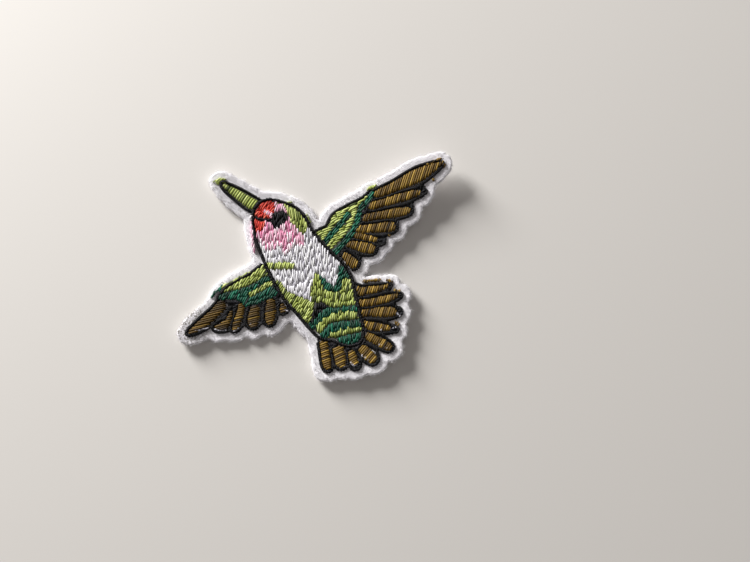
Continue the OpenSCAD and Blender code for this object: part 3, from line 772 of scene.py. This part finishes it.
# A line, how high it stands and how far its stitches reach past its edges, in mm
for node, height, over in (
    ("beak_outline", LINE_HEIGHT, -0.1),
    ("body_outline", LINE_HEIGHT, -0.15),
    ("right_wing_outline", FEATHER_LINE_HEIGHT, -0.03),
    ("left_wing_outline", FEATHER_LINE_HEIGHT, -0.03),
    ("tail_outline", FEATHER_LINE_HEIGHT, -0.03),
):
    runs = across_line(top_loops(node), over=over)
    sew(node, BLACK, "thread_black", runs, height, girth=0.19, tone=(0.4, 0.25), pad=0.6)


# Loose ends: short stitches that the needle set outside the black lines or that have pulled free of them,
# and places where a feather's rows stop short and white ground thread shows.
LOOSE_HEIGHT = 0.55
LOOSE_GIRTH = THREAD_WIDTH * 0.4
LOOSE = {
    # x and y where a fringe starts and ends, how many stitches, their slope, length and spread
    (GREEN, "thread_green"): [
        (-23.3, 19.5, -21.0, 19.0, 6, 40, 1.1, 0.2), (11.6, 17.7, 13.3, 18.3, 7, 65, 1.2, 0.1),
        (-14.6, -1.4, -21.2, -4.9, 16, 62, 1.0, 0.1), (-8.1, 14.7, -5.8, 14.7, 6, 30, 0.7, 0.1),
        (-2.5, 12.0, -1.3, 9.8, 5, 60, 0.7, 0.1), (-9.6, 14.2, -8.8, 14.5, 3, 60, 0.8, 0.1),
    ],
    (TEAL, "thread_teal"): [(-21.2, -4.9, -23.2, -6.8, 10, 55, 1.7, 0.15)],
    (BROWN, "thread_brown"): [
        (24.6, 22.9, 28.0, 24.2, 15, 62, 0.9, 0.12), (10.3, -3.5, 14.4, -3.2, 13, 68, 0.8, 0.1),
        (15.6, -3.2, 17.0, -3.7, 5, 68, 0.8, 0.1), (17.3, -5.6, 18.6, -5.9, 5, 70, 0.9, 0.15),
        (17.6, -12.8, 18.3, -13.3, 4, 60, 0.8, 0.15), (26.0, 19.5, 26.5, 19.3, 3, 60, 0.6, 0.1),
        (16.2, 7.1, 16.6, 6.8, 3, 60, 0.6, 0.1), (28.2, 23.4, 28.8, 22.4, 5, 60, 0.9, 0.1),
    ],
    (PINK, "thread_pink"): [
        (-14.75, 11.4, -14.15, 3.6, 30, 84, 1.5, 0.22), (-10.9, 12.2, -10.2, 11.2, 4, 60, 0.9, 0.2),
        (-11.9, 12.6, -10.1, 11.7, 10, 62, 1.5, 0.15),
    ],
    (WHITE, "thread_white"): [
        (-26.6, -14.8, -23.6, -14.0, 7, 15, 0.8, 0.08), (-22.4, -14.4, -19.7, -14.6, 7, 10, 0.7, 0.08),
        (-18.1, -14.8, -17.1, -14.0, 4, 40, 0.7, 0.08), (-14.5, -13.2, -13.2, -13.6, 4, 10, 0.7, 0.08),
        (-7.6, -9.8, -6.1, -10.3, 4, -15, 0.7, 0.08),
        (14.0, -17.6, 15.8, -18.5, 5, 50, 0.7, 0.15), (10.1, -19.9, 11.8, -21.3, 5, 50, 0.7, 0.15),
        (7.8, -21.6, 8.9, -22.5, 4, 30, 0.7, 0.1), (5.6, -22.3, 6.5, -22.6, 3, 20, 0.6, 0.1),
        (17.6, -10.6, 18.6, -11.4, 4, 70, 0.7, 0.1), (14.4, -14.6, 18.0, -13.9, 7, 70, 0.6, 0.15),
    ],
}
# How high a colour's loose stitches stand in mm, and their tone and its spread. The white ones keep close to
# the white thread's shade colour, as painted shade where they show between the brown and the black.
LOOSE_LOOK = {"thread_pink": (0.82, (0.65, 0.25)), "thread_white": (0.66, (0.12, 0.12))}


def fringe(x0, y0, x1, y1, count, slope, length, spread):
    """Loose stitches at uneven places along a line, each turned a little its own way."""
    for k in range(count):
        middle = Vector((x0, y0)).lerp(Vector((x1, y1)), (k + dice.uniform(0.2, 0.8)) / count)
        middle += Vector((dice.uniform(-spread, spread), dice.uniform(-spread, spread)))
        turn = Matrix.Rotation(math.radians(dice.gauss(slope, 9)), 2)
        half = turn @ Vector((length * dice.uniform(0.35, 0.6), 0))
        yield middle - half, middle + half


for (colour, slot), rows in LOOSE.items():
    ends = [run for row in rows for run in fringe(*row)]
    height, tone = LOOSE_LOOK.get(slot, (LOOSE_HEIGHT, (0.5, 0.3)))
    stitched("loose_ends" + slot.removeprefix("thread"), colour, slot, ends, height, LOOSE_GIRTH, tone)


# The setting: the patch lies loose on a plain pale table top, in soft daylight from a window on the upper
# left. The camera looks almost straight down, and a pixel of the photograph is PIXEL mm wide.
TABLE_REACH = 3000
table_top = mesh_object(
    "table_top",
    [Vector((x, y, 0)) * TABLE_REACH * MM for x, y in ((-1, -1), (1, -1), (1, 1), (-1, 1))],
    [(0, 1, 2, 3)],
)
table_look, tree, shader = plain_material("pale table")
shader.inputs["Base Color"].default_value = srgb(224, 221, 217)
shader.inputs["Roughness"].default_value = 0.6
table_top.data.materials.append(table_look)

world = bpy.data.worlds.new("soft daylight")
world.use_nodes = True
sky = world.node_tree.nodes["Background"]
sky.inputs["Color"].default_value = (1.0, 0.95, 0.92, 1)
sky.inputs["Strength"].default_value = 0.22
bpy.context.scene.world = world

WINDOW_PLACE = Vector((-520, 570, 275))
WINDOW_AIM = Vector((10, -5, 0))
WINDOW_SIZE = 300
window = bpy.data.lights.new("window", "AREA")
window.shape = "RECTANGLE"
window.size = window.size_y = WINDOW_SIZE * MM
window.energy = 14.3
window.color = (1.0, 0.985, 0.965)
lamp = bpy.data.objects.new("window", window)
lamp.location = WINDOW_PLACE * MM
lamp.rotation_euler = (WINDOW_AIM * MM - lamp.location).to_track_quat("-Z", "Y").to_euler()
bpy.context.scene.collection.objects.link(lamp)

PHOTO_WIDTH = 750
PIXEL = 0.22305
SENSOR_WIDTH = 36
ELEVATION = math.radians(79)
DISTANCE = 230
TARGET = Vector((13.1, -3.4, 1.5))
lens = bpy.data.cameras.new("camera")
lens.sensor_width = SENSOR_WIDTH
lens.lens = SENSOR_WIDTH * DISTANCE / (PHOTO_WIDTH * PIXEL)
lens.clip_start = 0.01
camera = bpy.data.objects.new("camera", lens)
back = Vector((0, -math.cos(ELEVATION), math.sin(ELEVATION)))
camera.location = (TARGET + back * DISTANCE) * MM
camera.rotation_euler = (-back).to_track_quat("-Z", "Y").to_euler()
bpy.context.scene.collection.objects.link(camera)
bpy.context.scene.camera = camera
bpy.context.scene.view_settings.view_transform = "Standard"
